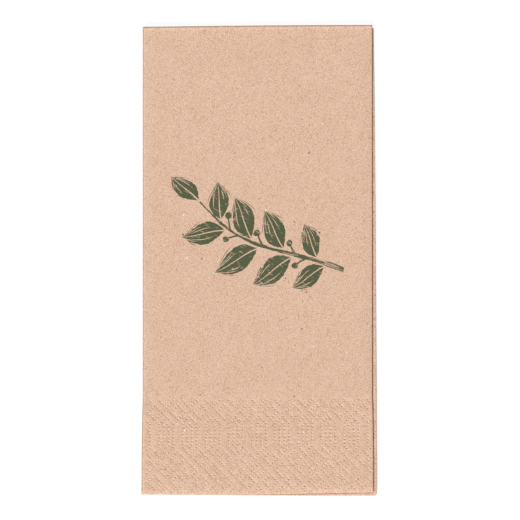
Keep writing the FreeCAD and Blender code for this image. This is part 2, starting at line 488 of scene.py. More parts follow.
def hexagon(centre, reach, corner, apex, side_steps):
    """Dots on an upright hexagon, with an apex above and below and a straight row on either side."""
    column, row = centre
    dots = []
    for k in range(reach):
        rise = apex - (apex - corner) * k / reach
        for across in sorted({k, -k}):
            dots.append((column + across, row + rise))
            dots.append((column + across, row - rise))
    for k in range(side_steps + 1):
        rise = corner * (2 * k / side_steps - 1)
        dots.append((column + reach, row + rise))
        dots.append((column - reach, row + rise))
    return dots


def motif():
    """One period of the border, as columns and rows of the lattice."""
    dots = []
    for centre in DIAMOND_CENTRES:
        dots += diamond(centre)
    dots += hexagon(HEXAGON_CENTRE, **OUTER_HEXAGON)
    dots += hexagon(HEXAGON_CENTRE, **INNER_HEXAGON)
    return [(column, row) for column, row in dots if 0 < row < BORDER_ROWS]


def border_dots(low, high, first_column, emboss):
    """Dots along one edge of the sheet, as distance along the edge and distance in from it."""
    step = emboss.step
    keep_off = emboss.dot_width / 2
    dots = []
    first = math.floor((low - first_column) / (PERIOD_COLUMNS * step)) - 1
    last = math.ceil((high - first_column) / (PERIOD_COLUMNS * step))
    for period in range(first, last + 1):
        for column, row in motif():
            place = first_column + (column + PERIOD_COLUMNS * period) * step
            depth = emboss.first_row + row * step
            if low + keep_off <= place <= high - keep_off and depth >= keep_off + EDGE_CLEAR:
                dots.append((place, depth))
    return dots


# The printed sprig, as outlines in millimetres about its own centre, drawn as if with a half-dry brush

STEM_START = Vector((36, -17.5))
STEM_END = Vector((-25.5, 12))
STEM_SAG = -5.5
STEM_SWAY = 1.6
STEM_STEPS = 80
SPRIG_WIDTH = 72

# The stem's half width at its start, how much it loses on its way, and how much and how fast it wavers
STEM_HALF = 1.0
STEM_TAPER = 0.65
STEM_WAVER = 0.12
STEM_WAVER_RATE = 0.31

# Streaks on the stem: place across it, and first and last step along it
STEM_STREAKS = ((0.45, 0, 15), (-0.1, 1, 11), (-0.5, 0, 19), (0.25, 24, 33))
STREAK_HALF = 0.14

# Angle of a leaf to the stem, its stalk, its curl, and the powers that give the blade its belly and its tip
LEAF_ANGLE = math.radians(50)
LEAF_STALK = 1.2
LEAF_CURL = 0.14
LEAF_START = 0.06
LEAF_BELLY = 0.86
LEAF_TIP = 1.1
LEAF_STEP = 0.5

# Half width of the bare midrib at the leaf's base and at its tip
RIB_HALF = 0.24
RIB_TIP = 0.02

# Waves in a brush's edge, as size and share of each, and how far each kind of edge strays
BRUSH_WAVES = ((1.4, 1.0), (0.5, 0.8))
EDGE_ROUGHNESS = 0.3
RIB_ROUGHNESS = 0.07
STREAK_ROUGHNESS = 0.08

# Place on the stem, side, length and width of each leaf
LEAVES = (
    (0.10, 1, 17.0, 8.4),
    (0.16, -1, 16.0, 8.0),
    (0.31, 1, 21.0, 10.0),
    (0.37, -1, 19.0, 9.6),
    (0.52, 1, 22.0, 10.4),
    (0.58, -1, 20.0, 9.8),
    (0.75, 1, 19.5, 9.4),
    (0.81, -1, 17.0, 8.6),
)

# Place on the stem, side, stalk length and radius of each berry
BERRIES = (
    (0.24, 1, 4.4, 1.4),
    (0.31, -1, 4.2, 1.3),
    (0.52, -1, 4.6, 1.5),
    (0.69, 1, 4.0, 1.3),
    (0.75, -1, 4.8, 1.4),
)
STALK_STEPS = 9
STREAK_POINTS = 14
BLOT_CORNERS = 14
SPLASHES = 9

# Half width of a pointed stroke at its very ends, as a share of its thickest place
POINT_SHARE = 0.12


def rough(point, seed, amount):
    """A brush's edge: the point moved a little, in or out, by smooth noise."""
    x = 0
    y = 0
    for size, share in BRUSH_WAVES:
        cell = Vector((point[0] / size, point[1] / size, seed))
        x += noise.noise(cell) * amount * share
        y += noise.noise(cell + Vector((31, 17, 0))) * amount * share
    return point[0] + x, point[1] + y


def stem_point(share):
    """A point on the stem and its direction."""
    straight = STEM_START.lerp(STEM_END, share)
    ahead = (STEM_END - STEM_START).normalized()
    side = Vector((-ahead.y, ahead.x))
    bend = -STEM_SAG * math.sin(math.pi * share) - STEM_SWAY * math.sin(2 * math.pi * share)
    slope = -STEM_SAG * math.pi * math.cos(math.pi * share)
    slope -= 2 * STEM_SWAY * math.pi * math.cos(2 * math.pi * share)
    slope /= (STEM_END - STEM_START).length
    return straight + side * bend, (ahead + side * slope).normalized()


def stroke(path, half_widths, seed, amount):
    """The outline of a brush stroke along a path, with a half width at each of its points."""
    upper = []
    lower = []
    for k, place in enumerate(path):
        ahead = (path[min(k + 1, len(path) - 1)] - path[max(k - 1, 0)]).normalized()
        side = Vector((-ahead.y, ahead.x)) * half_widths[k]
        upper.append(rough(place + side, seed, amount))
        lower.append(rough(place - side, seed + 5, amount))
    return upper + lower[::-1]


def tapered(count, thickest):
    """Half widths of a stroke that is pointed at both ends."""
    return [thickest * max(math.sin(math.pi * k / (count - 1)), POINT_SHARE) for k in range(count)]


class Leaf:
    """A leaf of two brushed halves beside a bare midrib, with a curved spine and a pointed tip."""

    def __init__(self, base, angle, length, width, curl, seed):
        self.base = base
        self.curl = curl
        self.ahead = Vector((math.cos(angle), math.sin(angle)))
        self.across = Vector((-self.ahead.y, self.ahead.x))
        self.length = length
        self.width = width
        self.seed = seed

    def spine(self, share):
        """A point on the midrib."""
        curl = self.across * self.curl * self.length * math.sin(math.pi * share / 2) ** 2
        return self.base + self.ahead * self.length * (LEAF_START + (1 - LEAF_START) * share) + curl

    def blade(self, share):
        """Half the leaf's width at a place along it."""
        return self.width / 2 * math.sin(math.pi * share ** LEAF_BELLY) ** LEAF_TIP if 0 < share < 1 else 0

    def half(self, side):
        """The outline of the leaf on one side of its midrib."""
        steps = int(self.length / LEAF_STEP)
        outer = []
        inner = []
        for k in range(steps + 1):
            share = k / steps
            rib = RIB_HALF * math.sqrt(1 - share) + RIB_TIP
            edge = max(self.blade(share), rib + RIB_TIP)
            spine = self.spine(share)
            outer.append(rough(spine + self.across * side * edge, self.seed + side, EDGE_ROUGHNESS))
            inner.append(rough(spine + self.across * side * rib, self.seed + 4, RIB_ROUGHNESS))
        return outer + inner[1:-1][::-1]

    def streak(self, side, low, high, reach, thickest):
        """A thin streak along the blade, reach being its place between midrib and edge."""
        path = []
        for k in range(STREAK_POINTS):
            share = low + (high - low) * k / (STREAK_POINTS - 1)
            path.append(self.spine(share) + self.across * side * reach * self.blade(share))
        return stroke(path, tapered(STREAK_POINTS, thickest), self.seed + 9 * reach, STREAK_ROUGHNESS)


def blot(centre, radius, seed):
    """The outline of a round spot of ink."""
    points = []
    for k in range(BLOT_CORNERS):
        angle = 2 * math.pi * k / BLOT_CORNERS
        point = (centre.x + radius * math.cos(angle), centre.y + radius * math.sin(angle))
        points.append(rough(point, seed, 0.3 * radius))
    return points


def sprig_outlines():
    """Outlines of ink, and outlines of the bare streaks that a dry brush leaves in it."""
    chance = random.Random(5)
    ink = []
    bare = []
    marks = range(STEM_STEPS + 1)
    half_widths = [
        STEM_HALF - STEM_TAPER * k / STEM_STEPS + STEM_WAVER * math.sin(STEM_WAVER_RATE * k) for k in marks
    ]
    ink.append(stroke([stem_point(k / STEM_STEPS)[0] for k in marks], half_widths, 1.5, 0.25))
    for offset, low, high in STEM_STREAKS:
        path = []
        for k in range(low, high):
            place, ahead = stem_point(k / STEM_STEPS)
            path.append(place + Vector((-ahead.y, ahead.x)) * offset)
        bare.append(stroke(path, tapered(len(path), STREAK_HALF), 3 + offset, STREAK_ROUGHNESS))
    leaves = []
    for number, (share, side, length, width) in enumerate(LEAVES):
        place, ahead = stem_point(share)
        angle = math.atan2(ahead.y, ahead.x) + side * LEAF_ANGLE * (0.9 - 0.25 * share)
        base = place + Vector((math.cos(angle), math.sin(angle))) * LEAF_STALK
        leaves.append(Leaf(base, angle, length, width, LEAF_CURL * side, 20 + 3.7 * number))
    place, ahead = stem_point(1)
    leaves.append(Leaf(place, math.atan2(ahead.y, ahead.x), 16.5, 8.0, 0.1, 71))
    # Two bare streaks in each half of a leaf, and a streak of ink just outside its edge
    for leaf in leaves:
        for side in (1, -1):
            ink.append(leaf.half(side))
            low = chance.uniform(0.25, 0.5)
            bare.append(leaf.streak(side, low, chance.uniform(0.75, 0.93), chance.uniform(0.4, 0.6), 0.15))
            bare.append(leaf.streak(side, chance.uniform(0.5, 0.65), 0.97, chance.uniform(0.7, 0.82), 0.13))
            ink.append(leaf.streak(side, chance.uniform(0.45, 0.6), 0.96, chance.uniform(1.16, 1.24), 0.13))
    for number, (share, side, stalk, radius) in enumerate(BERRIES):
        place, ahead = stem_point(share)
        out = (Vector((-ahead.y, ahead.x)) * side + ahead * 0.75).normalized()
        marks = range(STALK_STEPS + 1)
        bends = [0.8 * math.sin(k / STALK_STEPS * math.pi / 2) for k in marks]
        path = [place + out * stalk * k / STALK_STEPS + ahead * bends[k] for k in marks]
        ink.append(stroke(path, [0.42 - 0.012 * k for k in marks], 50 + number, 0.1))
        ink.append(blot(path[-1] + out * radius * 0.8, radius, 90 + number))
    # Small spots of ink that fell beside the stem
    for number in range(SPLASHES):
        place, ahead = stem_point(chance.uniform(0.05, 0.95))
        off = Vector((-ahead.y, ahead.x)) * chance.choice((-1, 1)) * chance.uniform(9, 15)
        ink.append(blot(place + off, chance.uniform(0.22, 0.42), 120 + number))
    return ink, bare


def inside(point, outline):
    """Whether a point lies in a closed outline."""
    x, y = point
    hit = False
    previous = outline[-1]
    for corner in outline:
        if (corner[1] > y) != (previous[1] > y):
            cross = (previous[0] - corner[0]) * (y - corner[1]) / (previous[1] - corner[1]) + corner[0]
            if x < cross:
                hit = not hit
        previous = corner
    return hit


# The sheet's mesh


def spread(low, high, step):
    """Evenly spaced values from low to high, about step apart."""
    count = max(round((high - low) / step), 1)
    return [low + (high - low) * k / count for k in range(count + 1)]


class SheetMesh:
    """Two faces of the folded sheet and the cut edge between them, as one closed mesh."""

    GRID = 5 * MM
    FINE_GRID = 1 * MM
    CLOSEST_LINES = 0.02 * MM
    FOLD_STEPS = 10
    CREASE_STEPS = 6
    MITRE_CLEAR = 0.35

    # Closer lines beside an edge, and how many of them have fine points beside the cut edge and the fold
    EDGE_LINES = (0.15 * MM, 0.35 * MM, 0.6 * MM, 0.9 * MM, 1.3 * MM, 1.9 * MM, 2.8 * MM)
    FINE_AT_CUT = 3
    FINE_AT_FOLD = 5

    # Places this near to each other count as one, in metres and, for the triangles, in millimetres
    SAME_PLACE = 1e-7
    SAME_PLACE_MM = 1e-5

    def __init__(self, fold, emboss, sprig):
        self.fold = fold
        self.emboss = emboss
        self.sprig = sprig
        self.settle = Settled(fold)
        self.points = []
        self.nodes = {}
        self.painted_edge_shade = []
        self.pressed = []
        self.faces = []
        self.inks = []
        self.across = self.across_lines()
        self.along = self.along_lines()

    def across_lines(self):
        """Places of the lines along the sheet's width, closer on the folds and beside the cut edges."""
        lines = []
        for name, length, radius in self.fold.spans:
            step = self.GRID if radius is None else length / self.FOLD_STEPS
            lines += spread(self.fold.starts[name], self.fold.ends[name], step)
        for mark in self.EDGE_LINES:
            lines += [mark, self.fold.ends["inner panel"] - mark]
        return self.tidy(lines)

    def along_lines(self):
        """Places of the lines along the sheet's length, closer at the first fold and the cut edges."""
        fold = self.fold
        crease_end = fold.length - fold.leg
        lines = spread(0, fold.leg, self.GRID) + spread(crease_end, fold.length, self.GRID)
        lines += spread(fold.leg, crease_end, (crease_end - fold.leg) / self.CREASE_STEPS)
        for mark in self.EDGE_LINES:
            lines += [mark, fold.length - mark, fold.leg - mark, crease_end + mark]
        return self.tidy(lines)

    def tidy(self, lines):
        """The lines in order, without those that nearly fall on another."""
        kept = []
        for line in sorted(lines):
            if not kept or line - kept[-1] > self.CLOSEST_LINES:
                kept.append(line)
        return kept

    def add_point(self, across, along, rise, pressed=0):
        """Folds and settles a point of the open sheet, and keeps how much painted shade it takes at the
        outline and how pressed it is.
        """
        point = self.fold.place(across, along, rise)
        self.points.append(self.settle(point))
        self.painted_edge_shade.append(self.settle.painted_edge_shade(point))
        self.pressed.append(pressed)
        return len(self.points) - 1

    def node(self, i, j, side):
        """The point at a crossing of the grid's lines: side is 1 on the face side and -1 on the other."""
        if (i, j, side) not in self.nodes:
            rise = side * self.fold.thickness / 2
            self.nodes[i, j, side] = self.add_point(self.across[i], self.along[j], rise)
        return self.nodes[i, j, side]

    def add_face(self, corners, ink=False):
        """Keeps a face and whether it is printed."""
        self.faces.append(corners)
        self.inks.append(ink)

    def build(self):
        """Both faces, with the patches of the face side filled in, and the cut edge."""
        patches = (self.front_patch(), self.back_patch())
        for i in range(len(self.across) - 1):
            for j in range(len(self.along) - 1):
                cell = ((i, j), (i + 1, j), (i + 1, j + 1), (i, j + 1))
                self.add_face([self.node(*node, -1) for node in reversed(cell)])
                across = (self.across[i] + self.across[i + 1]) / 2
                middle = (across, (self.along[j] + self.along[j + 1]) / 2)
                if not any(patch.holds(middle) for patch in patches):
                    self.add_face([self.node(*node, 1) for node in cell])
        for patch in patches:
            self.fill(patch)
        self.close_edges()

    def front_patch(self):
        """The front panel, with its border, its print and its wrinkle."""
        fold = self.fold
        start = fold.starts["front panel"]
        end = fold.ends["front panel"]
        first = start + fold.left + self.emboss.margin
        dots = border_dots(start, end, first, self.emboss)
        middle = Vector(((fold.left + fold.right) / 2 + start, (fold.leg + fold.pair_half) / 2))
        shift = middle + Vector(self.sprig.centre)
        scale = self.sprig.width / SPRIG_WIDTH
        ink, bare = ([[(shift.x + x * scale, shift.y + y * scale) for x, y in outline] for outline in group]
                     for group in sprig_outlines())
        wrinkle = [
            (middle.x + x, middle.y + wrinkle_line(x) + row)
            for x in spread(WRINKLE_START, WRINKLE_END, self.FINE_GRID)
            for row in WRINKLE_ROWS
        ]
        return Patch(start, end, 0, fold.leg, dots, ink, bare, wrinkle, FRONT_RINGS)

    def back_patch(self):
        """The underside, with the border along two edges of the sheet, which meet in a mitre."""
        fold = self.fold
        end = fold.ends["bottom panel"]
        first = fold.starts["front panel"] + fold.left + self.emboss.margin
        step = self.emboss.step
        mitre = self.MITRE_CLEAR * step
        low_edge = border_dots(0, end, first, self.emboss)
        dots = [(place, depth) for place, depth in low_edge if place > depth + mitre]
        side_first = first - math.floor(first / step) * step
        side_edge = border_dots(0, fold.leg, side_first, self.emboss)
        dots += [(depth, place) for place, depth in side_edge if place > depth + mitre]
        return Patch(0, end, 0, fold.leg, dots, [], [], [], BACK_RINGS)

    def fill(self, patch):
        """Fills a patch of the face side with dots, outlines and a plain grid, joined to its rim."""
        rows = self.lines_between(self.across, patch.low_across, patch.high_across)
        columns = self.lines_between(self.along, patch.low_along, patch.high_along)
        rim = self.rim(rows, columns)
        flat = [(self.across[i], self.along[j]) for i, j in rim]
        rises = [0.0] * len(flat)
        edges = [(k, (k + 1) % len(rim)) for k in range(len(rim))]
        for i in rows[1:-1]:
            for j in columns[1:-1]:
                if patch.is_plain((self.across[i], self.along[j]), self.emboss.dot_width):
                    flat.append((self.across[i], self.along[j]))
                    rises.append(0.0)
        near_fold = [patch.high_along - mark for mark in self.EDGE_LINES[:self.FINE_AT_FOLD]]
        for along in [*self.EDGE_LINES[:self.FINE_AT_CUT], *near_fold]:
            for across in spread(patch.low_across, patch.high_across, self.FINE_GRID)[1:-1]:
                flat.append((across, along))
                rises.append(0.0)
        flat += patch.wrinkle
        rises += [0.0] * len(patch.wrinkle)
        for point, rise in patch.ring_points(self.emboss):
            flat.append(point)
            rises.append(rise)
        for outline in patch.ink + patch.bare:
            first = len(flat)
            flat += outline
            rises += [0.0] * len(outline)
            edges += [(first + k, first + (k + 1) % len(outline)) for k in range(len(outline))]
        coordinates = [Vector((a / MM, b / MM)) for a, b in flat]
        triangulated = delaunay_2d_cdt(coordinates, edges, [], 0, self.SAME_PLACE_MM, True)
        places, _, triangles, origins, _, _ = triangulated
        half = self.fold.thickness / 2
        numbers = []
        for place, origin in zip(places, origins):
            source = min(origin) if origin else None
            if source is not None and source < len(rim):
                numbers.append(self.node(*rim[source], 1))
            else:
                rise = rises[source] if source is not None else 0.0
                pressed = -rise / self.emboss.dot_depth
                numbers.append(self.add_point(place.x * MM, place.y * MM, half + rise, pressed))
        for triangle in triangles:
            middle = sum((places[k] for k in triangle), Vector((0, 0))) / 3 * MM
            self.add_face(tuple(numbers[k] for k in triangle), patch.is_inked(middle))

    def lines_between(self, lines, low, high):
        """Numbers of the grid's lines from low to high."""
        near = self.SAME_PLACE
        return [k for k, line in enumerate(lines) if low - near <= line <= high + near]

    def rim(self, rows, columns):
        """The crossings on the outline of a block of the grid, in order."""
        rim = [(i, columns[0]) for i in rows[:-1]]
        rim += [(rows[-1], j) for j in columns[:-1]]
        rim += [(i, columns[-1]) for i in rows[:0:-1]]
        return rim + [(rows[0], j) for j in columns[:0:-1]]

    def close_edges(self):
        """The cut edge of the sheet, all the way round."""
        rim = self.rim(range(len(self.across)), range(len(self.along)))
        for node, following in zip(rim, rim[1:] + rim[:1]):
            corners = ((following, 1), (node, 1), (node, -1), (following, -1))
            self.add_face([self.node(*place, side) for place, side in corners])


# Rings of points round a dot: share of its radius, and how many points
FRONT_RINGS = ((0, 1), (0.33, 6), (0.62, 9), (0.88, 9), (1.1, 9))
BACK_RINGS = ((0, 1), (0.5, 5), (1, 6))

# The slanted wall of a dot, as shares of its radius
DOT_WALL = (0.15, 1.0)

# How the dots differ. Their depth has a usual share, a part that changes over patches, chance and a limit.
DOT_DEPTH = 0.88
DOT_PATCHY = 0.24
DOT_PATCH = 11 * MM
DOT_DEPTH_CHANCE = (-0.07, 0.07)
DOT_DEPTH_MOST = 1.05
DOT_WIDTH_CHANCE = (0.95, 1.05)
DOT_SHIFT_MM = (-0.03, 0.03)

# Points of a dot keep this far from the rim of their patch
RIM_CLEAR = 0.03 * MM


class Patch:
    """Part of the sheet's face side that holds embossed dots and printed outlines."""

    def __init__(self, low_across, high_across, low_along, high_along, dots, ink, bare, wrinkle, rings):
        self.low_across = low_across
        self.high_across = high_across
        self.low_along = low_along
        self.high_along = high_along
        self.dots = dots
        self.ink = ink
        self.bare = bare
        self.wrinkle = wrinkle
        self.rings = rings
        self.boxes = {id(outline): self.outline_box(outline) for outline in ink + bare}

    def holds(self, point):
        """Whether a place of the open sheet lies in the patch."""
        across, along = point
        return self.low_across < across < self.high_across and self.low_along < along < self.high_along

    def is_plain(self, point, clear):
        """Whether a grid point keeps clear of every dot."""
        for across, along in self.dots:
            if abs(across - point[0]) < clear and abs(along - point[1]) < clear:
                return False
        return True

    def is_inked(self, point):
        """Whether ink covers a place: in an outline of ink, and in no bare streak."""
        return self.any_holds(self.ink, point) and not self.any_holds(self.bare, point)

    def any_holds(self, outlines, point):
        """Whether a point lies in any of the outlines. Their boxes are tried first, to save time."""
        for outline in outlines:
            low_x, high_x, low_y, high_y = self.boxes[id(outline)]
            if low_x <= point.x <= high_x and low_y <= point.y <= high_y and inside(point, outline):
                return True
        return False

    def outline_box(self, outline):
        """Least and greatest x and y of an outline."""
        xs = [x for x, y in outline]
        ys = [y for x, y in outline]
        return min(xs), max(xs), min(ys), max(ys)

    def ring_points(self, emboss):
        """Points on rings round each dot, each with how far the paper is pressed in there."""
        chance = random.Random(11)
        points = []
        for across, along in self.dots:
            patchy = noise.noise(Vector((across / DOT_PATCH, along / DOT_PATCH, 5.5)))
            pressure = DOT_DEPTH + DOT_PATCHY * patchy + chance.uniform(*DOT_DEPTH_CHANCE)
            depth = emboss.dot_depth * min(pressure, DOT_DEPTH_MOST)
            radius = emboss.dot_width / 2 * chance.uniform(*DOT_WIDTH_CHANCE)
            centre_across = across + chance.uniform(*DOT_SHIFT_MM) * MM
            centre_along = along + chance.uniform(*DOT_SHIFT_MM) * MM
            for share, count in self.rings:
                rise = -depth * (1 - smooth_step(share, *DOT_WALL))
                turn = chance.uniform(0, 1)
                for k in range(count):
                    angle = 2 * math.pi * (k + turn) / count
                    a = centre_across + radius * share * math.cos(angle)
                    b = centre_along + radius * share * math.sin(angle)
                    if self.low_across + RIM_CLEAR < a < self.high_across - RIM_CLEAR and b > RIM_CLEAR:
                        points.append(((a, b), rise))
        return points


# Materials

# A Mix node's sockets when it mixes colours: its two colours and their mix
FIRST_COLOUR = 6
SECOND_COLOUR = 7
MIXED_COLOUR = 2

# Steps between light and dark pulp, and light and dark ink, with red, green and blue weights near grey
PULP_SPREAD = 0.235
INK_SPREAD = 0.02
PULP_CONTRAST = (1.0, 1.02, 0.88)

# Sizes in the paper. Its pulp clumps are really 0.2 to 0.4 mm across. A fibre is 1 to 2 mm long and 0.03 mm
# wide, too fine to show, so it is drawn 0.28 mm wide. Specks of bark are really 0.2 mm, and drawn 0.4 mm.
PULP_CLUMP = 0.33 * MM
CREPE_CLUMP = 0.38 * MM
PULP_CLOUD = 6 * MM
CLOUD_SHARE = 0.10
HUE_DRIFT = 1.9 * MM
FIBRE_WIDTH = 0.28 * MM
FIBRE_SHAPE = (6, 1, 1)
BRUSH_HAIR = 0.8 * MM
BRUSH_SHAPE = (4.5, 1, 1)
BRUSH_TURN = math.radians(-22)

# The ways that fibres lie, as turn and seed, and how much darker than dark pulp they are
FIBRE_WAYS = ((0.5, 0.0), (1.7, 0.3), (2.6, 0.7))
FIBRE_DARKER = 1.8

# Specks: spacing, size and colour of the dark and the pale ones, the share of places that holds one, and the
# size and reach of the noise that makes them uneven
SPECKS = ((15 * MM, 0.46 * MM, "755F4E"), (19 * MM, 0.40 * MM, "FFF2E2"))
SPECK_SHARE = 0.22
SPECK_LUMP = 0.5 * MM
SPECK_STRETCH = (0.4 * MM, 0.7 * MM, 0)

# Heights that the paper's clumps and its pressed dots have beyond the mesh
PAPER_RELIEF = 0.04 * MM
PIT_RELIEF = 0.114 * MM

# Painted light makes the floors of the pressed dots paler, against the shade in them, and painted shade
# darkens the outline towards this tone
PIT_PAINTED_LIGHT = 0.15
PAINTED_SHADE_TONE = "BBAD9F"

# The floor's own glow, and the grey of the part of it that takes light and shadow
FLOOR_GLOW = 0.93
FLOOR_SEEN = 0.14


def add_node(tree, kind, inputs=None, **settings):
    """One shader node, with its settings, and with links from sockets or plain values into its inputs."""
    node = tree.nodes.new("ShaderNode" + kind)
    for name, value in settings.items():
        setattr(node, name, value)
    for name, value in (inputs or {}).items():
        socket = node.inputs[name]
        if isinstance(value, bpy.types.NodeSocket):
            tree.links.new(value, socket)
        else:
            socket.default_value = value
    return node


def new_material(name):
    """A material without nodes, and its node tree."""
    material = bpy.data.materials.new(name)
    material.use_nodes = True
    material.node_tree.nodes.clear()
    return material, material.node_tree


def grey(value):
    """A grey as red, green, blue and alpha."""
    return (value, value, value, 1)


def tissue_relief(tree, place):
    """The felted, creped surface of tissue, and the dots pressed into it."""
    clumps = add_node(tree, "TexNoise", {
        "Vector": place, "Scale": 1 / CREPE_CLUMP, "Detail": 2.0, "Roughness": 0.6, "Distortion": 0.3,
    })
    pressed = add_node(tree, "Attribute", attribute_name="pressed")
    height = add_node(tree, "Math", {
        0: pressed.outputs["Fac"], 1: -PIT_RELIEF / PAPER_RELIEF, 2: clumps.outputs["Fac"],
    }, operation="MULTIPLY_ADD")
    bump = add_node(tree, "Bump", {
        "Height": height.outputs["Value"], "Strength": 1.0, "Distance": PAPER_RELIEF,
    })
    return bump.outputs["Normal"]


def fibres(tree, place, turn, seed):
    """Short dark fibres that lie one way."""
    turned = add_node(tree, "Mapping", {
        "Vector": place, "Location": (seed, seed, 0), "Rotation": (0, 0, turn), "Scale": FIBRE_SHAPE,
    }, vector_type="TEXTURE")
    strands = add_node(tree, "TexNoise", {
        "Vector": turned.outputs["Vector"], "Scale": 1 / FIBRE_WIDTH, "Detail": 1.0, "Distortion": 0.3,
    })
    cover = add_node(tree, "MapRange", {
        "Value": strands.outputs["Fac"], "From Min": 0.64, "From Max": 0.86,
    })
    return cover.outputs["Result"]


def specks(tree, place, spacing, size):
    """A few specks of bark or filler: one in some of the cells of a loose lattice."""
    wobble = add_node(tree, "TexNoise", {"Vector": place, "Scale": 1 / SPECK_LUMP, "Detail": 1.0})
    moved = add_node(tree, "VectorMath", {
        0: wobble.outputs["Color"], 1: SPECK_STRETCH, 2: place,
    }, operation="MULTIPLY_ADD")
    cells = add_node(tree, "TexVoronoi", {
        "Vector": moved.outputs["Vector"], "Scale": 1 / spacing, "Randomness": 1.0,
    }, voronoi_dimensions="2D")
    near = add_node(tree, "MapRange", {
        "Value": cells.outputs["Distance"], "From Min": size / spacing, "From Max": 0.4 * size / spacing,
    })
    chosen = add_node(tree, "Math", {0: cells.outputs["Color"], 1: SPECK_SHARE}, operation="LESS_THAN")
    both = add_node(tree, "Math", {
        0: near.outputs["Result"], 1: chosen.outputs["Value"],
    }, operation="MULTIPLY")
    return both.outputs["Value"]


def shifted(colour, amount):
    """A colour made lighter or darker by an amount, with the weights of the pulp's contrast."""
    return (*(max(channel + amount * weight, 0) for channel, weight in zip(colour, PULP_CONTRAST)), 1)


def tissue_colour(tree, place, colour, contrast):
    """Recycled pulp: light and dark clumps of fibre, faint drifts of hue and fibres, with painted light that
    makes the pressed dots paler.
    """
    mottle = add_node(tree, "TexNoise", {
        "Vector": place, "Scale": 1 / PULP_CLUMP, "Detail": 1.5, "Roughness": 0.6, "Distortion": 0.5,
    })
    clouds = add_node(tree, "TexNoise", {
        "Vector": place, "Scale": 1 / PULP_CLOUD, "Detail": 3.0, "Roughness": 0.75,
    })
    cloudy = add_node(tree, "Math", {
        0: clouds.outputs["Fac"], 1: CLOUD_SHARE, 2: mottle.outputs["Fac"],
    }, operation="MULTIPLY_ADD")
    light = add_node(tree, "MapRange", {
        "Value": cloudy.outputs["Value"], "From Min": 0.32, "From Max": 0.78,
    })
    drift = add_node(tree, "TexNoise", {
        "Vector": place, "Scale": 1 / HUE_DRIFT, "Detail": 2.0, "Roughness": 0.6,
    })
    hue = add_node(tree, "MapRange", {
        "Value": drift.outputs["Fac"], "From Min": 0.3, "From Max": 0.7, "To Min": 0.491, "To Max": 0.509,
    })
    pulp = add_node(tree, "Mix", {
        "Factor": light.outputs["Result"],
        FIRST_COLOUR: shifted(colour, -contrast),
        SECOND_COLOUR: shifted(colour, contrast),
    }, data_type="RGBA")
    for turn, seed in FIBRE_WAYS:
        pulp = add_node(tree, "Mix", {
            "Factor": fibres(tree, place, turn, seed),
            FIRST_COLOUR: pulp.outputs[MIXED_COLOUR],
            SECOND_COLOUR: shifted(colour, -FIBRE_DARKER * contrast),
        }, data_type="RGBA")
    # Painted light: the floors of the pressed dots are made paler, against the shade that falls in them
    pressed = add_node(tree, "Attribute", attribute_name="pressed")
    painted_pit_light = add_node(tree, "Math", {
        0: pressed.outputs["Fac"], 1: PIT_PAINTED_LIGHT, 2: 1.0,
    }, operation="MULTIPLY_ADD")
    tinted = add_node(tree, "HueSaturation", {
        "Hue": hue.outputs["Result"], "Value": painted_pit_light.outputs["Value"], "Color": pulp.outputs[MIXED_COLOUR],
    })
    return tinted.outputs["Color"]


def speckled_and_edge_shaded(tree, place, colour):
    """Adds dark and pale specks, and a line of painted shade on the outline, where the creases of the folds
    and the gaps between layer edges lie.
    """
    for spacing, size, tone in SPECKS:
        speckled = add_node(tree, "Mix", {
            "Factor": specks(tree, place, spacing, size),
            FIRST_COLOUR: colour,
            SECOND_COLOUR: (*srgb(tone), 1),
        }, data_type="RGBA")
        colour = speckled.outputs[MIXED_COLOUR]
    # Painted shade along the outline, where folds and layer edges fall into shade
    painted_edge_shade = add_node(tree, "Attribute", attribute_name="painted_edge_shade")
    darkened = add_node(tree, "Mix", {
        "Factor": painted_edge_shade.outputs["Fac"], FIRST_COLOUR: colour, SECOND_COLOUR: (*srgb(PAINTED_SHADE_TONE), 1),
    }, data_type="RGBA", blend_type="MULTIPLY")
    return darkened.outputs[MIXED_COLOUR]


# Creped tissue of unbleached recycled pulp. To the eye it is dull, with no shine at any angle, felted and
# not smooth, and softly mottled in warm greys and browns, with a few stray fibres and specks.


def make_tissue(colours):
    """The paper of the whole sheet."""
    material, tree = new_material("recycled_tissue_creped")
    place = add_node(tree, "TexCoord").outputs["Object"]
    pulp = tissue_colour(tree, place, colours.paper, PULP_SPREAD)
    shader = add_node(tree, "BsdfPrincipled", {
        "Base Color": speckled_and_edge_shaded(tree, place, pulp),
        "Roughness": 0.95,
        "IOR": 1.45,
        "Specular IOR Level": 0.15,
        "Normal": tissue_relief(tree, place),
    })
    add_node(tree, "OutputMaterial", {"Surface": shader.outputs["BSDF"]})
    return material


# Water-based ink laid on tissue by a soft printing plate. To the eye it is matt and flat, sunk into the
# pulp so that the mottle shows through, and thin in the streaks that a half-dry brush leaves.


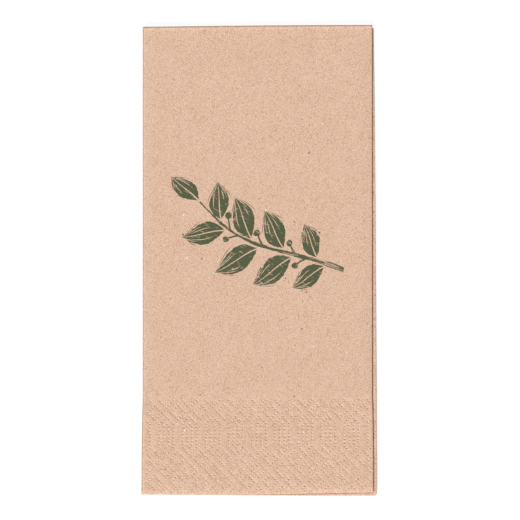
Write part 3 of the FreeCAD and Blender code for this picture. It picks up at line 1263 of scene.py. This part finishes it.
def make_ink(colours):
    """The ink of the printed sprig."""
    material, tree = new_material("green_ink_flexo_printed")
    place = add_node(tree, "TexCoord").outputs["Object"]
    paper = tissue_colour(tree, place, colours.paper, PULP_SPREAD)
    ink = tissue_colour(tree, place, colours.ink, INK_SPREAD)
    streaks = add_node(tree, "Mapping", {
        "Vector": place, "Rotation": (0, 0, BRUSH_TURN), "Scale": BRUSH_SHAPE,
    }, vector_type="TEXTURE")
    dry = add_node(tree, "TexNoise", {
        "Vector": streaks.outputs["Vector"], "Scale": 1 / BRUSH_HAIR, "Detail": 3.0, "Roughness": 0.65,
    })
    cover = add_node(tree, "MapRange", {
        "Value": dry.outputs["Fac"], "From Min": 0.32, "From Max": 0.42, "To Min": 0.35,
    })
    printed = add_node(tree, "Mix", {
        "Factor": cover.outputs["Result"], FIRST_COLOUR: paper, SECOND_COLOUR: ink,
    }, data_type="RGBA")
    shader = add_node(tree, "BsdfPrincipled", {
        "Base Color": printed.outputs[MIXED_COLOUR],
        "Roughness": 0.85,
        "IOR": 1.45,
        "Specular IOR Level": 0.2,
        "Normal": tissue_relief(tree, place),
    })
    add_node(tree, "OutputMaterial", {"Surface": shader.outputs["BSDF"]})
    return material


# Matt painted studio board. To the eye it is an even white without gloss, which keeps a faint shadow.


def make_floor_material(colours):
    """The floor, lit from within for what looks at it, so that it is white at any level of the lamps."""
    material, tree = new_material("white_studio_board")
    board = add_node(tree, "BsdfPrincipled", {
        "Base Color": (*colours.floor, 1), "Roughness": 0.9, "Specular IOR Level": 0.1,
    })
    glow = add_node(tree, "Emission", {"Color": grey(1), "Strength": FLOOR_GLOW})
    seen = add_node(tree, "BsdfDiffuse", {"Color": grey(FLOOR_SEEN)})
    bright = add_node(tree, "AddShader", {0: glow.outputs["Emission"], 1: seen.outputs["BSDF"]})
    surface = add_node(tree, "MixShader", {
        0: seen_ray(tree), 1: board.outputs["BSDF"], 2: bright.outputs["Shader"],
    })
    add_node(tree, "OutputMaterial", {"Surface": surface.outputs["Shader"]})
    return material


def seen_ray(tree):
    """One for a camera, glossy or transmission ray, so that gloss and glass show the background too."""
    path = add_node(tree, "LightPath")
    seen = path.outputs["Is Camera Ray"]
    for name in ("Is Glossy Ray", "Is Transmission Ray"):
        either = add_node(tree, "Math", {0: seen, 1: path.outputs[name]}, operation="MAXIMUM")
        seen = either.outputs["Value"]
    return seen


# The stage: half the floor's width, how wide the sun looks, the camera's sensor in millimetres, and the
# photo's width in picture elements
FLOOR_HALF = 1.5
SUN_SPREAD = math.radians(7)
SENSOR_WIDTH = 36
PHOTO_WIDTH = 520

# The middle of the frame from the middle of the napkin, in picture elements
FRAME_OFFSET = (0.52, 0.72)


# Operators


class NAPKIN_OT_fold_sheet(bpy.types.Operator):
    """Makes the folded sheet, with its embossed border and its print"""

    bl_idname = "napkin.fold_sheet"
    bl_label = "Fold Sheet"

    def execute(self, context):
        scene = context.scene
        fold = Fold(scene.napkin_sheet)
        sheet = SheetMesh(fold, scene.napkin_emboss, scene.napkin_print)
        sheet.build()
        mesh = bpy.data.meshes.new("napkin_sheet")
        mesh.from_pydata(sheet.points, [], sheet.faces)
        mesh.materials.append(make_tissue(scene.napkin_colours))
        mesh.materials.append(make_ink(scene.napkin_colours))
        mesh.polygons.foreach_set("material_index", [1 if ink else 0 for ink in sheet.inks])
        # Attributes for the painted shade along the outline, and for how deep the dots are pressed
        for name, values in (("painted_edge_shade", sheet.painted_edge_shade), ("pressed", sheet.pressed)):
            mesh.attributes.new(name, "FLOAT", "POINT").data.foreach_set("value", values)
        mesh.shade_smooth()
        mesh.validate()
        mesh.update()
        piece = bpy.data.objects.new("napkin_sheet", mesh)
        scene.collection.objects.link(piece)
        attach(piece, "root")
        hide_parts("napkin")
        return {"FINISHED"}


class NAPKIN_OT_build_stage(bpy.types.Operator):
    """Makes the floor, the light and the camera"""

    bl_idname = "napkin.build_stage"
    bl_label = "Build Stage"

    def execute(self, context):
        stage = context.scene.napkin_stage
        self.add_floor(context.scene)
        self.add_light(context.scene, stage)
        self.add_camera(context.scene, stage)
        context.scene.view_settings.view_transform = "Standard"
        return {"FINISHED"}

    def add_floor(self, scene):
        mesh = bpy.data.meshes.new("studio_floor")
        corners = [(x * FLOOR_HALF, y * FLOOR_HALF, 0) for x, y in ((-1, -1), (1, -1), (1, 1), (-1, 1))]
        mesh.from_pydata(corners, [], [(0, 1, 2, 3)])
        mesh.materials.append(make_floor_material(scene.napkin_colours))
        floor = bpy.data.objects.new("studio_floor", mesh)
        scene.collection.objects.link(floor)

    def add_light(self, scene, stage):
        lamp = bpy.data.lights.new("key_light", "SUN")
        lamp.angle = SUN_SPREAD
        lamp.energy = math.pi * (1 - stage.ambient) / math.sin(stage.sun_height)
        lamp.color = [(1 - stage.ambient * warm) / (1 - stage.ambient) for warm in stage.ambient_colour]
        key = bpy.data.objects.new("key_light", lamp)
        flat = math.cos(stage.sun_height)
        side = stage.sun_side
        towards = Vector((flat * math.cos(side), flat * math.sin(side), math.sin(stage.sun_height)))
        key.rotation_mode = "QUATERNION"
        key.rotation_quaternion = towards.to_track_quat("Z", "Y")
        scene.collection.objects.link(key)
        world = bpy.data.worlds.new("pale_studio")
        world.use_nodes = True
        tree = world.node_tree
        tree.nodes.clear()
        colour = (*stage.ambient_colour, 1)
        soft = add_node(tree, "Background", {"Color": colour, "Strength": stage.ambient})
        white = add_node(tree, "Background", {"Color": grey(1), "Strength": 1})
        both = add_node(tree, "MixShader", {
            0: seen_ray(tree), 1: soft.outputs["Background"], 2: white.outputs["Background"],
        })
        add_node(tree, "OutputWorld", {"Surface": both.outputs["Shader"]})
        scene.world = world

    def add_camera(self, scene, stage):
        data = bpy.data.cameras.new("photo_camera")
        data.lens = stage.lens
        data.sensor_width = SENSOR_WIDTH
        data.clip_start = 0.01
        data.clip_end = 10
        camera = bpy.data.objects.new("photo_camera", data)
        top = CAD_BOX[1].z
        distance = stage.view_width * data.lens / data.sensor_width
        pixel = stage.view_width / PHOTO_WIDTH
        camera.location = (FRAME_OFFSET[0] * pixel, FRAME_OFFSET[1] * pixel, top + distance)
        scene.collection.objects.link(camera)
        scene.camera = camera


class NAPKIN_PT_sidebar(bpy.types.Panel):
    """Lists the napkin's operators and sizes"""

    bl_idname = "NAPKIN_PT_sidebar"
    bl_label = "Folded Napkin"
    bl_space_type = "VIEW_3D"
    bl_region_type = "UI"
    bl_category = "Napkin"

    def draw(self, context):
        layout = self.layout
        for operator in (NAPKIN_OT_fold_sheet, NAPKIN_OT_build_stage):
            layout.operator(operator.bl_idname)
        for name in GROUPS:
            group = getattr(context.scene, name)
            for item in group.__annotations__:
                layout.prop(group, item)


GROUPS = {
    "napkin_sheet": NapkinSheetSizes,
    "napkin_emboss": NapkinEmbossSizes,
    "napkin_print": NapkinPrintSizes,
    "napkin_colours": NapkinColours,
    "napkin_stage": NapkinStageSizes,
}
CLASSES = (*GROUPS.values(), NAPKIN_OT_fold_sheet, NAPKIN_OT_build_stage, NAPKIN_PT_sidebar)


def register():
    for item in CLASSES:
        bpy.utils.register_class(item)
    for name, group in GROUPS.items():
        setattr(bpy.types.Scene, name, PointerProperty(type=group))


def unregister():
    for name in GROUPS:
        delattr(bpy.types.Scene, name)
    for item in reversed(CLASSES):
        bpy.utils.unregister_class(item)


def main():
    register()
    bpy.ops.napkin.fold_sheet()
    bpy.ops.napkin.build_stage()


if __name__ == "__main__":
    main()
